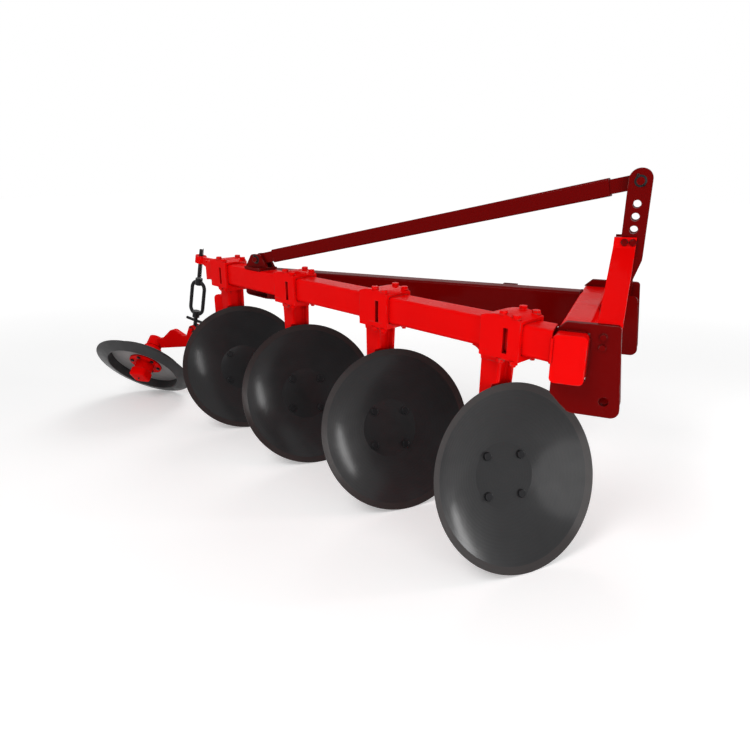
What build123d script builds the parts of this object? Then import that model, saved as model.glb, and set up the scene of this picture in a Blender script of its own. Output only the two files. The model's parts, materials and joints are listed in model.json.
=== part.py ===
"""Tractor-mounted disc plough with four discs, as separate pieces in one frame.

+X is the direction of travel, +Y the plough's left and +Z up. Every size is in millimetres. Pieces are first
placed from the ground point under the front disc's rim centre, then moved together so that the origin is the
middle of the whole plough's footprint.
"""

import os
from math import asin, cos, degrees, radians, sin, sqrt

from build123d import *

# Discs: concave steel blades with a flat centre
DISC_COUNT = 4
DISC_DIA = 660.0
DISC_THICKNESS = 6.0
DISC_CURVE_RADIUS = 600.0
DISC_FLAT_DIA = 240.0
DISC_BEVEL = 26.0
DISC_EDGE = 1.6
DISC_PITCH = 580.0
DISC_ANGLE = 48.5  # degrees between the face and the direction of travel
DISC_TILT = 19.0  # degrees the top leans back
DISC_BOLT_PCD = 200.0
DISC_BOLT_DIA = 18.0
DISC_BOLT_HEAD_DIA = 32.0
DISC_BOLT_HEAD = 9.0
DISC_BOLT_COUNT = 4
DISC_BOLT_TURN = 38.0  # degrees
BOLT_HOLE_CLEARANCE = 0.4

# Hub behind each disc, turning on the standard's spindle
HUB_FLANGE_DIA = 252.0
HUB_FLANGE = 14.0
HUB_BARREL_DIA = 124.0
HUB_BARREL = 62.0
HUB_NUT = 16.0
HUB_NUT_RADIUS = 16.0
HUB_EDGE = 4.0
SPINDLE_DIA = 55.0
SPINDLE_LENGTH = 66.0
RUNNING_CLEARANCE = 0.08
HUB_GAP = 6.0
BOSS_DIA = 108.0
BOSS_LENGTH = 48.0
HUB_CLEARANCE = 9.0

# Slanted main beam
BEAM_ANGLE = 22.6  # degrees from the direction of travel
BEAM_SIZE = 100.0
BEAM_WALL = 8.0
BEAM_CORNER = 12.0
BEAM_BOTTOM = 770.0
BEAM_OFFSET = 26.0  # centreline to the right of the discs' line
BEAM_REAR = 1942.0  # behind the front disc, along the beam
END_PLATE = 10.0

# Standards and clamps, measured back along the beam from their disc
CLAMP_FRONT = -15.0
CLAMP_REAR = 135.0
CLAMP_STRAP = 14.0
CLAMP_SLOT = 18.0
CLAMP_SLOT_AT = 44.0
CLAMP_EDGE = 10.0
CLAMP_CROWN = 24.0
SADDLE = 20.0
LEG_WIDTH = 74.0
LEG_WEB = 26.0
LEG_FLANGE = 15.0
LEG_TOP_DEPTH = 102.0
LEG_FOOT_DEPTH = 74.0
LEG_TOP_LEFT = 55.0  # leg's middle at the saddle, left of the beam's centreline
LEG_RAKE = 40.0  # how far the saddle stands ahead of the foot
LEG_CORNER = 6.0
HEAD_FLARE = 38.0  # radius of the head's sweep into the leg

# Front cross member
CROSS_REAR = 78.0
CROSS_WIDTH = 100.0
CROSS_DEPTH = 150.0
CROSS_TOP = 860.0
CROSS_WALL = 8.0
CROSS_CORNER = 16.0
CROSS_RIGHT = -112.0
CROSS_OVERHANG = 54.0  # beyond each outer hitch plate

# Side member, parallel to travel
SIDE_MIDDLE = 645.0
SIDE_WIDTH = 80.0
SIDE_WALL = 6.0
SIDE_CORNER = 12.0

# Hitch: clevises for the tractor's lower links, 683 mm between their inner shoulders
HITCH_SHOULDER = 683.0
HITCH_GAP = 60.0
HITCH_OUTER_PLATE = 20.0
HITCH_INNER_PLATE = 16.0
HITCH_PIN_HOLE = 29.0
HITCH_PIN_AHEAD = 160.0
HITCH_PIN_DROP = 208.0  # below the cross member's top
HITCH_TOP_RISE = 28.0  # above the cross member's top
HITCH_PIN_EDGE = 50.0  # from the pin's middle to the plates' front and bottom
HITCH_RAKE = 26.0  # how far the plates' top front stands behind their bottom
HITCH_LEFT_REACH = 30.0  # the left plates reach further forward
HITCH_REAR_DROP = 50.0
HITCH_HEEL = 60.0  # from the plates' rear to their lower corner
HITCH_TOP_REAR = 30.0
HITCH_STEP = 16.0  # the inner plates' top below the cross member's
HITCH_CORNER = 26.0
HITCH_TOP_CORNER = 14.0

# Mast
MAST_GAP = 52.0
MAST_PLATE = 16.0
MAST_REAR = 137.0
MAST_FRONT = 211.0
MAST_PIN_EDGE = 41.0
MAST_FOOT = 40.0  # above the cross member's bottom
MAST_FOOT_FRONT = 24.0
MAST_BEND = 40.0
MAST_HOLE = 26.0
MAST_HOLE_DROPS = (154.0, 113.0, 72.0)  # below the stay's pin
MAST_HOLE_AHEAD = 172.0
BRACE_WIDTH = 70.0
BRACE = 16.0
BRACE_REAR = 116.0
BRACE_FOOT_DROP = 60.0  # below the cross member's top
BRACE_BEND_RISE = 20.0  # above the cross member's top
BRACE_TOP_DROP = 178.0  # below the stay's pin
BRACE_UPPER_DROP = 212.0  # below the stay's pin
BRACE_BEND_RADIUS = 36.0

# Stay from mast head to beam
STAY_WIDTH = 40.0
STAY_DEPTH = 60.0
STAY_WALL = 5.0
STAY_CORNER = 8.0
STAY_PIN_DIA = 25.0
STAY_PIN_CLEARANCE = 0.2
STAY_PIN_RISE = 424.0  # above the cross member's top
STAY_PIN_AHEAD = 174.0
STAY_TONGUE = 30.0
STAY_TONGUE_STEP = 6.0
PIN_END = 10.0  # a pin's end beyond the plates it passes
STAY_FOOT_BACK = 1498.0
STAY_FOOT_LENGTH = 130.0
STAY_FOOT_BASE = 12.0
STAY_FOOT_PIN = 36.0
STAY_FOOT_EAR = 14.0
STAY_FOOT_SIDE = 2.0
STAY_EAR_HALF = 28.0
STAY_EAR_TOP = 24.0  # above the pin
STAY_EAR_CORNER = 20.0

# Furrow wheel
WHEEL_DIA = 560.0
WHEEL_LEAN = 41.0
WHEEL_TOE = 8.0
WHEEL_BACK = 742.0  # behind the last disc, along travel
WHEEL_EDGE = 8.0
WHEEL_RIM_INNER = 410.0
WHEEL_RIM_DEPTH = 46.0
WHEEL_RIM_LIP = 20.0
WHEEL_FLANGE_INNER = 352.0
WHEEL_WEB = 8.0
WHEEL_HUB_DIA = 104.0
WHEEL_HUB_FLANGE_DIA = 190.0
WHEEL_HUB_BACK = 100.0
WHEEL_HUB_FRONT = 58.0
WHEEL_CAP = 98.0
WHEEL_CAP_CORNER = 22.0
WHEEL_CAP_EDGE = 10.0
WHEEL_CAP_LENGTH = 46.0
AXLE_DIA = 45.0
AXLE_GAP = 6.0
AXLE_BOSS_DIA = 90.0
AXLE_BOSS = 60.0

# Wheel arm, its bracket on the last standard, and the adjuster
ARM_THICK = 30.0
ARM_DEPTH_FRONT = 72.0
ARM_DEPTH_REAR = 58.0
ARM_LEFT = -7.0  # from the last leg's middle
ARM_PIVOT_BACK = 90.0  # behind the bracket's base
ARM_PIVOT_HEIGHT = 408.0
KNUCKLE_DIA = 84.0
KNUCKLE_BACK = 318.0  # behind the pivot
KNUCKLE_LIFT = 34.0  # above the arm's middle line
KNUCKLE_SPREAD = 74.0
ARM_PIN_DIA = 32.0
ARM_SIDE = 2.0
BRACKET_BASE = 14.0
BRACKET_CHEEK = 14.0
BRACKET_FOOT = 75.0  # below the pivot
BRACKET_CHEEK_HEIGHT = 96.0
BRACKET_TOP = 672.0
BRACKET_TOP_BACK = 70.0
ADJUST_BACK = 165.0
ADJUST_LIFT = 41.0
ADJUST_LEAN = 12.5  # degrees the adjuster's top leans forward
ADJUST_PIN_DIA = 20.0
ADJUST_PIN_PLAY = 0.6
ADJUST_PIN_SLOT = 6.5
ADJUST_EYE_DIA = 48.0
ADJUST_EYE = 24.0
FORK_PLATE = 12.0
FORK_SPREAD = 44.0
FORK_TOE_DIA = 32.0
LOOP_ROD = 20.0
LOOP_WIDTH = 104.0
LOOP_LOW = 92.0
LOOP_HIGH = 286.0
LOOP_BOSS = 38.0
SCREW_DIA = 26.0
SCREW_TOP = 482.0
SCREW_BOSS_LOW = 396.0
SCREW_BOSS = 40.0
SCREW_BOSS_DIA = 60.0
SCREW_PLAY = 0.4
HANDLE_AT = 52.0
HANDLE_DIA = 16.0
HANDLE_LENGTH = 124.0
BOSS_WEB = 20.0
BOSS_WEB_ROOT = 84.0

# Parking stand on the side member
STAND_X = -225.0
STAND_TUBE = 60.0
STAND_WALL = 5.0
STAND_PLAY = 0.8
STAND_SOCKET_WALL = 6.0
STAND_SOCKET_LOW = 640.0
STAND_SOCKET_HIGH = 838.0
STAND_LEG_TOP = 852.0
STAND_FOOT = 140.0
STAND_FOOT_PLATE = 12.0
STAND_FOOT_CORNER = 18.0
TUBE_INNER_CORNER = 2.0


def block(x0, x1, y0, y1, z0, z1):
    """A box between six planes."""
    middle = Pos((x0 + x1) / 2, (y0 + y1) / 2, (z0 + z1) / 2)
    return middle * Box(abs(x1 - x0), abs(y1 - y0), abs(z1 - z0))


def outline(corners):
    """A flat outline from (across, up, radius) corners, rounded where a radius is given."""
    face = make_face(Polyline(*[(a, u) for a, u, r in corners], close=True))
    for a, u, r in corners:
        if r:
            spot = face.vertices().sort_by_distance((a, u, 0))[0]
            face = fillet(spot, r)
    return face


def plate(face, y0, y1):
    """An outline drawn in X and Z, as a plate between two Y planes."""
    return extrude(Plane.XZ.offset(-y1) * face, amount=y1 - y0)


def box_tube(length, width, depth, wall, corner):
    """A box section along +X with its middle on the axis."""
    outer = RectangleRounded(width, depth, corner)
    inner = RectangleRounded(width - 2 * wall, depth - 2 * wall, max(corner - wall, TUBE_INNER_CORNER))
    return extrude(Plane.YZ * (outer - inner), amount=length)


# Frames of the beam, the discs and the furrow wheel
slant = radians(BEAM_ANGLE)
to_left = Vector(sin(slant), cos(slant), 0)
BEAM = Plane(origin=to_left * -BEAM_OFFSET, x_dir=(cos(slant), -sin(slant), 0), z_dir=(0, 0, 1))
heading = radians(90 - DISC_ANGLE)
tilt = radians(DISC_TILT)
DISC_AXIS = Vector(cos(heading) * cos(tilt), -sin(heading) * cos(tilt), sin(tilt))
disc_radius = DISC_DIA / 2
curve_centre = sqrt(DISC_CURVE_RADIUS**2 - disc_radius**2)
back_radius = DISC_CURVE_RADIUS + DISC_THICKNESS
edge_depth = curve_centre - sqrt(back_radius**2 - disc_radius**2)
disc_height = disc_radius * cos(tilt) - edge_depth * sin(tilt)
BEAM_HALF = BEAM_SIZE / 2
beam_top = BEAM_BOTTOM + BEAM_SIZE


def disc_frame(i):
    """Frame of disc i: origin at its rim's centre, z along its axis to the front."""
    centre = BEAM.from_local_coords(Vector(-i * DISC_PITCH, BEAM_OFFSET, disc_height))
    return Plane(origin=centre, x_dir=(sin(heading), cos(heading), 0), z_dir=DISC_AXIS)


# Blade section: radius across, depth along the disc's axis
flat_radius = DISC_FLAT_DIA / 2
bevel_radius = disc_radius - DISC_BEVEL


def on_curve(across, radius):
    """A point of the blade's front or back curve."""
    return (across, curve_centre - sqrt(radius**2 - across**2))


flat_front = on_curve(flat_radius, DISC_CURVE_RADIUS)[1]
flat_back = flat_front - DISC_THICKNESS
flat_back_radius = sqrt(back_radius**2 - (curve_centre - flat_back) ** 2)
edge_back = (disc_radius, edge_depth)
front_middle = on_curve((flat_radius + bevel_radius) / 2, DISC_CURVE_RADIUS)
back_middle = on_curve((flat_back_radius + disc_radius) / 2, back_radius)
blade_face = make_face(
    [
        Line((0, flat_back), (0, flat_front)),
        Line((0, flat_front), (flat_radius, flat_front)),
        ThreePointArc((flat_radius, flat_front), front_middle, on_curve(bevel_radius, DISC_CURVE_RADIUS)),
        Line(on_curve(bevel_radius, DISC_CURVE_RADIUS), (disc_radius, edge_back[1] + DISC_EDGE)),
        Line((disc_radius, edge_back[1] + DISC_EDGE), edge_back),
        ThreePointArc(edge_back, back_middle, (flat_back_radius, flat_back)),
        Line((flat_back_radius, flat_back), (0, flat_back)),
    ]
)
bolt_spots = PolarLocations(DISC_BOLT_PCD / 2, DISC_BOLT_COUNT, start_angle=DISC_BOLT_TURN)
bolt_length = DISC_THICKNESS + HUB_FLANGE
blade = revolve(Plane.XZ * blade_face, Axis.Z)
hole_radius = DISC_BOLT_DIA / 2 + BOLT_HOLE_CLEARANCE
blade -= bolt_spots * (Pos(0, 0, flat_front) * Cylinder(hole_radius, 4 * DISC_THICKNESS))

hub_end = flat_back - HUB_FLANGE - HUB_BARREL
hub = Pos(0, 0, flat_back - HUB_FLANGE / 2) * Cylinder(HUB_FLANGE_DIA / 2, HUB_FLANGE)
hub = chamfer(hub.edges().filter_by(GeomType.CIRCLE).sort_by(Axis.Z)[0], HUB_EDGE)
hub += Pos(0, 0, flat_back - HUB_FLANGE - HUB_BARREL / 2) * Cylinder(HUB_BARREL_DIA / 2, HUB_BARREL)
bore_dia = SPINDLE_DIA + 2 * RUNNING_CLEARANCE
spindle_tip = hub_end + SPINDLE_LENGTH
hub -= Pos(0, 0, hub_end) * Cylinder(bore_dia / 2, 2 * (SPINDLE_LENGTH + HUB_GAP))
head = Pos(0, 0, flat_front) * Cylinder(
    DISC_BOLT_HEAD_DIA / 2, DISC_BOLT_HEAD, align=(Align.CENTER, Align.CENTER, Align.MIN)
)
head = fillet(head.edges().filter_by(GeomType.CIRCLE).sort_by(Axis.Z)[-1], DISC_BOLT_HEAD / 2)
shank = Pos(0, 0, flat_front - bolt_length / 2) * Cylinder(DISC_BOLT_DIA / 2, bolt_length)
nut = Pos(0, 0, flat_back - HUB_FLANGE - HUB_NUT) * extrude(RegularPolygon(HUB_NUT_RADIUS, 6), amount=HUB_NUT)
hub += bolt_spots * (head + shank + nut)

# Leg of a standard: an I-section that tapers and rakes from saddle to boss, under a swept T-head
boss_middle = hub_end - HUB_GAP - BOSS_LENGTH / 2
boss_spot = BEAM.to_local_coords(disc_frame(0).from_local_coords(Vector(0, 0, boss_middle)))
leg_foot = boss_spot.Z
saddle_bottom = BEAM_BOTTOM - SADDLE
leg_top = Vector(boss_spot.X + LEG_RAKE, LEG_TOP_LEFT, saddle_bottom)
leg_run = boss_spot - leg_top
saddle_rear = leg_top.X - LEG_WIDTH / 2 - HEAD_FLARE
clamp_half = BEAM_HALF + CLAMP_STRAP


def leg_at(height):
    """The leg's middle and depth at a height, from the disc's place on the beam."""
    share = (saddle_bottom - height) / (saddle_bottom - leg_foot)
    return leg_top + leg_run * share, LEG_TOP_DEPTH + share * (LEG_FOOT_DEPTH - LEG_TOP_DEPTH)


def leg_section(height):
    """The leg's I-section at a height: a flange each side of the beam's line and a web between."""
    middle, depth = leg_at(height)
    section = RectangleRounded(LEG_WIDTH, depth, LEG_CORNER)
    channel = RectangleRounded(LEG_WIDTH, depth - 2 * LEG_FLANGE, LEG_CORNER)
    channel = Pos(LEG_WEB / 2 + LEG_WIDTH / 2, 0) * channel
    section -= channel
    section -= Rot(0, 0, 180) * channel
    return Pos(*middle) * section


boss_clear = leg_foot + BOSS_DIA / 2
leg = loft([leg_section(saddle_bottom), leg_section(boss_clear)], ruled=True)
foot_middle, foot_depth = leg_at(boss_clear)
leg += extrude(Pos(*foot_middle) * RectangleRounded(LEG_WIDTH, foot_depth, LEG_CORNER), amount=-BOSS_DIA / 2)
head_front = leg_top.X + LEG_WIDTH / 2
head_rear = leg_top.X - LEG_WIDTH / 2
head_half = LEG_TOP_DEPTH / 2
head_low = saddle_bottom - HEAD_FLARE
sweep_in = HEAD_FLARE * (1 - sqrt(0.5))
head_face = make_face(
    [
        Line((saddle_rear, saddle_bottom), (head_front + HEAD_FLARE, saddle_bottom)),
        ThreePointArc(
            (head_front + HEAD_FLARE, saddle_bottom),
            (head_front + sweep_in, saddle_bottom - sweep_in),
            (head_front, head_low),
        ),
        Line((head_front, head_low), (head_rear, head_low)),
        ThreePointArc(
            (head_rear, head_low),
            (head_rear - sweep_in, saddle_bottom - sweep_in),
            (saddle_rear, saddle_bottom),
        ),
    ]
)
head_right = LEG_TOP_LEFT - head_half
head_left = LEG_TOP_LEFT + head_half
leg += plate(head_face, head_right, head_left)
leg += block(-CLAMP_REAR, -CLAMP_FRONT, -clamp_half, head_left, saddle_bottom, BEAM_BOTTOM)
leg += block(saddle_rear, -CLAMP_REAR, head_right, head_left, saddle_bottom, BEAM_BOTTOM)

# Clamp over the beam: crowned cap with a wide and a narrow strap each side
clamp_face = make_face(
    [
        Line((-CLAMP_REAR, BEAM_BOTTOM), (-CLAMP_FRONT, BEAM_BOTTOM)),
        Line((-CLAMP_FRONT, BEAM_BOTTOM), (-CLAMP_FRONT, beam_top + CLAMP_EDGE)),
        ThreePointArc(
            (-CLAMP_FRONT, beam_top + CLAMP_EDGE),
            (-(CLAMP_FRONT + CLAMP_REAR) / 2, beam_top + CLAMP_CROWN),
            (-CLAMP_REAR, beam_top + CLAMP_EDGE),
        ),
        Line((-CLAMP_REAR, beam_top + CLAMP_EDGE), (-CLAMP_REAR, BEAM_BOTTOM)),
    ]
)
clamp = plate(clamp_face, -clamp_half, clamp_half)
clamp -= block(-CLAMP_REAR, -CLAMP_FRONT, -BEAM_HALF, BEAM_HALF, BEAM_BOTTOM, beam_top)
slot_rear = -CLAMP_FRONT - CLAMP_SLOT_AT
clamp -= block(
    slot_rear - CLAMP_SLOT, slot_rear, -2 * clamp_half, 2 * clamp_half, BEAM_BOTTOM, beam_top - CLAMP_SLOT
)

# Room that each standard leaves for its turning hub and blade
room_low = hub_end - HUB_GAP
nut_low = flat_back - HUB_FLANGE - HUB_NUT - HUB_CLEARANCE
room = Pos(0, 0, curve_centre) * Sphere(back_radius + HUB_CLEARANCE)
room &= Cylinder(disc_radius + HUB_CLEARANCE, 2 * back_radius)
room += Pos(0, 0, room_low / 2) * Cylinder(HUB_BARREL_DIA / 2 + HUB_CLEARANCE, -room_low)
room += Pos(0, 0, nut_low / 2) * Cylinder(HUB_FLANGE_DIA / 2 + HUB_CLEARANCE, -nut_low)

pieces = {}
for i in range(DISC_COUNT):
    at_disc = disc_frame(i)
    back = Pos(-i * DISC_PITCH, 0, 0)
    pieces[f"blade_{i + 1}"] = at_disc * blade
    pieces[f"hub_{i + 1}"] = at_disc * hub
    pieces[f"clamp_{i + 1}"] = BEAM * back * clamp
    standard = BEAM * back * leg
    standard -= at_disc * room
    standard += at_disc * Pos(0, 0, boss_middle) * Cylinder(BOSS_DIA / 2, BOSS_LENGTH)
    spindle_mid = (boss_middle + spindle_tip) / 2
    standard += at_disc * Pos(0, 0, spindle_mid) * Cylinder(SPINDLE_DIA / 2, spindle_tip - boss_middle)
    pieces[f"standard_{i + 1}"] = standard

# Cross member with its end plates
hitch_outer_right = CROSS_RIGHT + CROSS_OVERHANG
hitch_middle = hitch_outer_right + HITCH_OUTER_PLATE + HITCH_GAP + HITCH_SHOULDER / 2
cross_left = 2 * hitch_middle - CROSS_RIGHT
cross_front = CROSS_REAR + CROSS_WIDTH
cross_middle = CROSS_REAR + CROSS_WIDTH / 2
cross_bottom = CROSS_TOP - CROSS_DEPTH
cross_length = cross_left - CROSS_RIGHT - 2 * END_PLATE
cross_tube = Rot(0, 0, 90) * box_tube(cross_length, CROSS_WIDTH, CROSS_DEPTH, CROSS_WALL, CROSS_CORNER)
cross_height = CROSS_TOP - CROSS_DEPTH / 2
pieces["cross_member"] = Pos(cross_middle, CROSS_RIGHT + END_PLATE, cross_height) * cross_tube
cap_face = RectangleRounded(CROSS_WIDTH, CROSS_DEPTH, CROSS_CORNER)
for side, low in (("right", CROSS_RIGHT), ("left", cross_left - END_PLATE)):
    cap = Pos(cross_middle, 0, cross_height) * plate(cap_face, low, low + END_PLATE)
    pieces[f"cross_end_{side}"] = cap

# Main beam, mitred onto the cross member's rear face
beam_tube = box_tube(BEAM_REAR + 4 * BEAM_SIZE, BEAM_SIZE, BEAM_SIZE, BEAM_WALL, BEAM_CORNER)
main_beam = BEAM * Pos(-BEAM_REAR, 0, BEAM_BOTTOM + BEAM_HALF) * beam_tube
far = 10 * BEAM_REAR
pieces["main_beam"] = main_beam - block(CROSS_REAR, far, -far, far, 0, far)

# Side member, mitred onto the main beam's left face
side_tube = box_tube(BEAM_REAR, SIDE_WIDTH, CROSS_DEPTH, SIDE_WALL, SIDE_CORNER)
side_member = Pos(CROSS_REAR - BEAM_REAR, SIDE_MIDDLE, cross_height) * side_tube
pieces["side_member"] = side_member - BEAM * block(-far, far, -far, BEAM_HALF, 0, far)

# Hitch plates: the outer ones wrap the cross member, the inner ones stand on its front
HITCH_PIN_X = CROSS_REAR + HITCH_PIN_AHEAD
HITCH_PIN_HEIGHT = CROSS_TOP - HITCH_PIN_DROP
hitch_top = CROSS_TOP + HITCH_TOP_RISE
hitch_bottom = HITCH_PIN_HEIGHT - HITCH_PIN_EDGE
pin_hole = Pos(HITCH_PIN_X, HITCH_PIN_HEIGHT) * Circle(HITCH_PIN_HOLE / 2)


def outer_face(reach):
    """Outline of an outer hitch plate with its front edge moved forward."""
    front = HITCH_PIN_X + HITCH_PIN_EDGE + reach
    return outline(
        [
            (CROSS_REAR + HITCH_TOP_REAR, hitch_top, HITCH_TOP_CORNER / 2),
            (front - HITCH_RAKE, hitch_top, HITCH_TOP_CORNER),
            (front, hitch_bottom, HITCH_CORNER),
            (CROSS_REAR + HITCH_HEEL, hitch_bottom, HITCH_CORNER),
            (CROSS_REAR, cross_bottom - HITCH_REAR_DROP, HITCH_TOP_CORNER),
            (CROSS_REAR, cross_bottom, 0),
            (cross_front, cross_bottom, 0),
            (cross_front, CROSS_TOP, 0),
            (CROSS_REAR, CROSS_TOP, 0),
        ]
    )


def inner_face(reach):
    """Outline of an inner hitch plate with its front edge moved forward."""
    front = HITCH_PIN_X + HITCH_PIN_EDGE + reach
    return outline(
        [
            (cross_front, CROSS_TOP - HITCH_STEP, 0),
            (front - HITCH_RAKE, CROSS_TOP - HITCH_STEP, HITCH_CORNER),
            (front, hitch_bottom, HITCH_CORNER),
            (cross_front + HITCH_HEEL / 3, hitch_bottom, HITCH_CORNER),
            (cross_front, cross_bottom - HITCH_REAR_DROP, HITCH_TOP_CORNER / 2),
        ]
    )


shoulder_half = HITCH_SHOULDER / 2
hitch_rows = (
    ("outer", outer_face, shoulder_half + HITCH_GAP, HITCH_OUTER_PLATE),
    ("inner", inner_face, shoulder_half - HITCH_INNER_PLATE, HITCH_INNER_PLATE),
)
for name, face, inside, thick in hitch_rows:
    right = hitch_middle - inside - thick
    left = hitch_middle + inside
    pieces[f"hitch_plate_right_{name}"] = plate(face(0) - pin_hole, right, right + thick)
    pieces[f"hitch_plate_left_{name}"] = plate(face(HITCH_LEFT_REACH) - pin_hole, left, left + thick)

# Mast: two cheeks with top-link holes, braced by a bent bar each side
stay_pin_height = CROSS_TOP + STAY_PIN_RISE
mast_top = stay_pin_height + MAST_PIN_EDGE
brace_upper_bend = stay_pin_height - BRACE_UPPER_DROP
mast_rear = CROSS_REAR + MAST_REAR
mast_front = CROSS_REAR + MAST_FRONT
mast_round = (MAST_FRONT - MAST_REAR) / 2 - 1
cheek_face = outline(
    [
        (mast_rear, mast_top, mast_round),
        (mast_front, mast_top, mast_round),
        (mast_front, brace_upper_bend - MAST_BEND, MAST_BEND),
        (cross_front + MAST_FOOT_FRONT, cross_bottom + MAST_FOOT, MAST_FOOT_FRONT / 2),
        (cross_front, cross_bottom + MAST_FOOT, 0),
        (cross_front, CROSS_TOP, MAST_FOOT_FRONT / 2),
        (mast_rear, brace_upper_bend - 2 * MAST_BEND, MAST_BEND),
    ]
)
MAST_HOLE_X = CROSS_REAR + MAST_HOLE_AHEAD
MAST_HOLE_HEIGHTS = [stay_pin_height - drop for drop in MAST_HOLE_DROPS]
for height in MAST_HOLE_HEIGHTS:
    cheek_face -= Pos(MAST_HOLE_X, height) * Circle(MAST_HOLE / 2)
stay_front = Vector(CROSS_REAR + STAY_PIN_AHEAD, hitch_middle, stay_pin_height)
stay_hole = STAY_PIN_DIA / 2 + STAY_PIN_CLEARANCE
cheek_face -= Pos(stay_front.X, stay_front.Z) * Circle(stay_hole)
brace_rear = CROSS_REAR + BRACE_REAR
outer_inside = hitch_middle - shoulder_half - HITCH_GAP
cheek_outside = hitch_middle - MAST_GAP / 2 - MAST_PLATE
for side, sign in (("right", -1), ("left", 1)):
    near = hitch_middle + sign * MAST_GAP / 2
    away = near + sign * MAST_PLATE
    pieces[f"mast_cheek_{side}"] = plate(cheek_face, min(near, away), max(near, away))
brace_line = FilletPolyline(
    (outer_inside + BRACE / 2, CROSS_TOP - BRACE_FOOT_DROP),
    (outer_inside + BRACE / 2, CROSS_TOP + BRACE_BEND_RISE),
    (cheek_outside - BRACE / 2, brace_upper_bend),
    (cheek_outside - BRACE / 2, stay_pin_height - BRACE_TOP_DROP),
    radius=BRACE_BEND_RADIUS,
)
brace_bar = extrude(Plane.YZ.offset(brace_rear) * trace(brace_line, BRACE), amount=BRACE_WIDTH)
pieces["mast_brace_right"] = brace_bar
pieces["mast_brace_left"] = mirror(brace_bar, Plane.XZ.offset(-hitch_middle))

# Stay between the mast head and an eared foot on the beam
foot_height = beam_top + STAY_FOOT_BASE + STAY_FOOT_PIN
stay_rear = BEAM.from_local_coords(Vector(-STAY_FOOT_BACK, 0, foot_height))
run = stay_rear - stay_front
STAY = Plane(origin=stay_front, x_dir=run, z_dir=run.cross(Vector(0, 0, 1)).cross(run))
setback = 1.6 * STAY_DEPTH
stay_tube = box_tube(run.length - 2 * setback, STAY_WIDTH, STAY_DEPTH, STAY_WALL, STAY_CORNER)
stay = STAY * Pos(setback, 0, 0) * stay_tube
tongue_half = STAY_DEPTH / 2 - STAY_TONGUE_STEP
tongue = block(0, setback + STAY_DEPTH, -STAY_TONGUE / 2, STAY_TONGUE / 2, -tongue_half, tongue_half)
tongue += Rot(90, 0, 0) * Cylinder(tongue_half, STAY_TONGUE)
stay += STAY * tongue
stay += STAY * Pos(run.length, 0, 0) * Rot(0, 0, 180) * tongue
front_pin = MAST_GAP + 2 * (MAST_PLATE + PIN_END)
stay += Pos(*stay_front) * Rot(90, 0, 0) * Cylinder(STAY_PIN_DIA / 2, front_pin)
foot_turn = Rot(0, 0, -degrees(asin(STAY.x_dir.Y / sqrt(STAY.x_dir.X**2 + STAY.x_dir.Y**2))))
foot_inside = STAY_TONGUE / 2 + STAY_FOOT_SIDE
rear_pin = 2 * (foot_inside + STAY_FOOT_EAR + PIN_END)
stay += Pos(*stay_rear) * foot_turn * Rot(90, 0, 0) * Cylinder(STAY_PIN_DIA / 2, rear_pin)
pieces["stay"] = stay
ear_face = outline(
    [
        (-STAY_FOOT_LENGTH / 2, 0, 0),
        (STAY_FOOT_LENGTH / 2, 0, 0),
        (STAY_EAR_HALF, STAY_FOOT_PIN + STAY_EAR_TOP, STAY_EAR_CORNER),
        (-STAY_EAR_HALF, STAY_FOOT_PIN + STAY_EAR_TOP, STAY_EAR_CORNER),
    ]
)
ear_face -= Pos(0, STAY_FOOT_PIN) * Circle(stay_hole)
ears = plate(ear_face, foot_inside, foot_inside + STAY_FOOT_EAR)
ears += plate(ear_face, -foot_inside - STAY_FOOT_EAR, -foot_inside)
foot_at = Pos(stay_rear.X, stay_rear.Y, beam_top + STAY_FOOT_BASE)
stay_foot = foot_at * foot_turn * ears
stay_foot += BEAM * block(
    -STAY_FOOT_BACK - STAY_FOOT_LENGTH / 2,
    -STAY_FOOT_BACK + STAY_FOOT_LENGTH / 2,
    -BEAM_HALF,
    BEAM_HALF,
    beam_top,
    beam_top + STAY_FOOT_BASE,
)
pieces["stay_foot"] = stay_foot

# Furrow wheel: leaning, with its cap to the right and down
lean = radians(WHEEL_LEAN)
toe = radians(WHEEL_TOE)
WHEEL_AXIS = Vector(sin(toe) * cos(lean), -cos(toe) * cos(lean), -sin(lean))
rim_floor = -WHEEL_RIM_DEPTH
web_floor = rim_floor + WHEEL_EDGE
hub_low = web_floor - WHEEL_HUB_BACK
last_disc = disc_frame(DISC_COUNT - 1).origin
wheel_radius = WHEEL_DIA / 2
bracket_low = ARM_PIVOT_HEIGHT - BRACKET_FOOT
last_shift = Vector((DISC_COUNT - 1) * DISC_PITCH + LEG_WIDTH / 2, 0, 0)
leg_rear_low = leg_at(bracket_low)[0] - last_shift
leg_rear_high = leg_at(BRACKET_TOP)[0] - last_shift
base_rear = leg_rear_low.X - BRACKET_BASE
base_spot = BEAM.from_local_coords(Vector(base_rear, leg_rear_low.Y, 0))
arm_plane = base_spot.Y + ARM_LEFT
boss_depth = hub_low - AXLE_GAP - AXLE_BOSS / 2
wheel_middle = arm_plane - WHEEL_AXIS.Y * boss_depth
wheel_centre = Vector(last_disc.X - WHEEL_BACK, wheel_middle, wheel_radius * cos(lean))
WHEEL = Plane(origin=wheel_centre, x_dir=(cos(toe), sin(toe), 0), z_dir=WHEEL_AXIS)
rim_inner = WHEEL_RIM_INNER / 2
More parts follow.
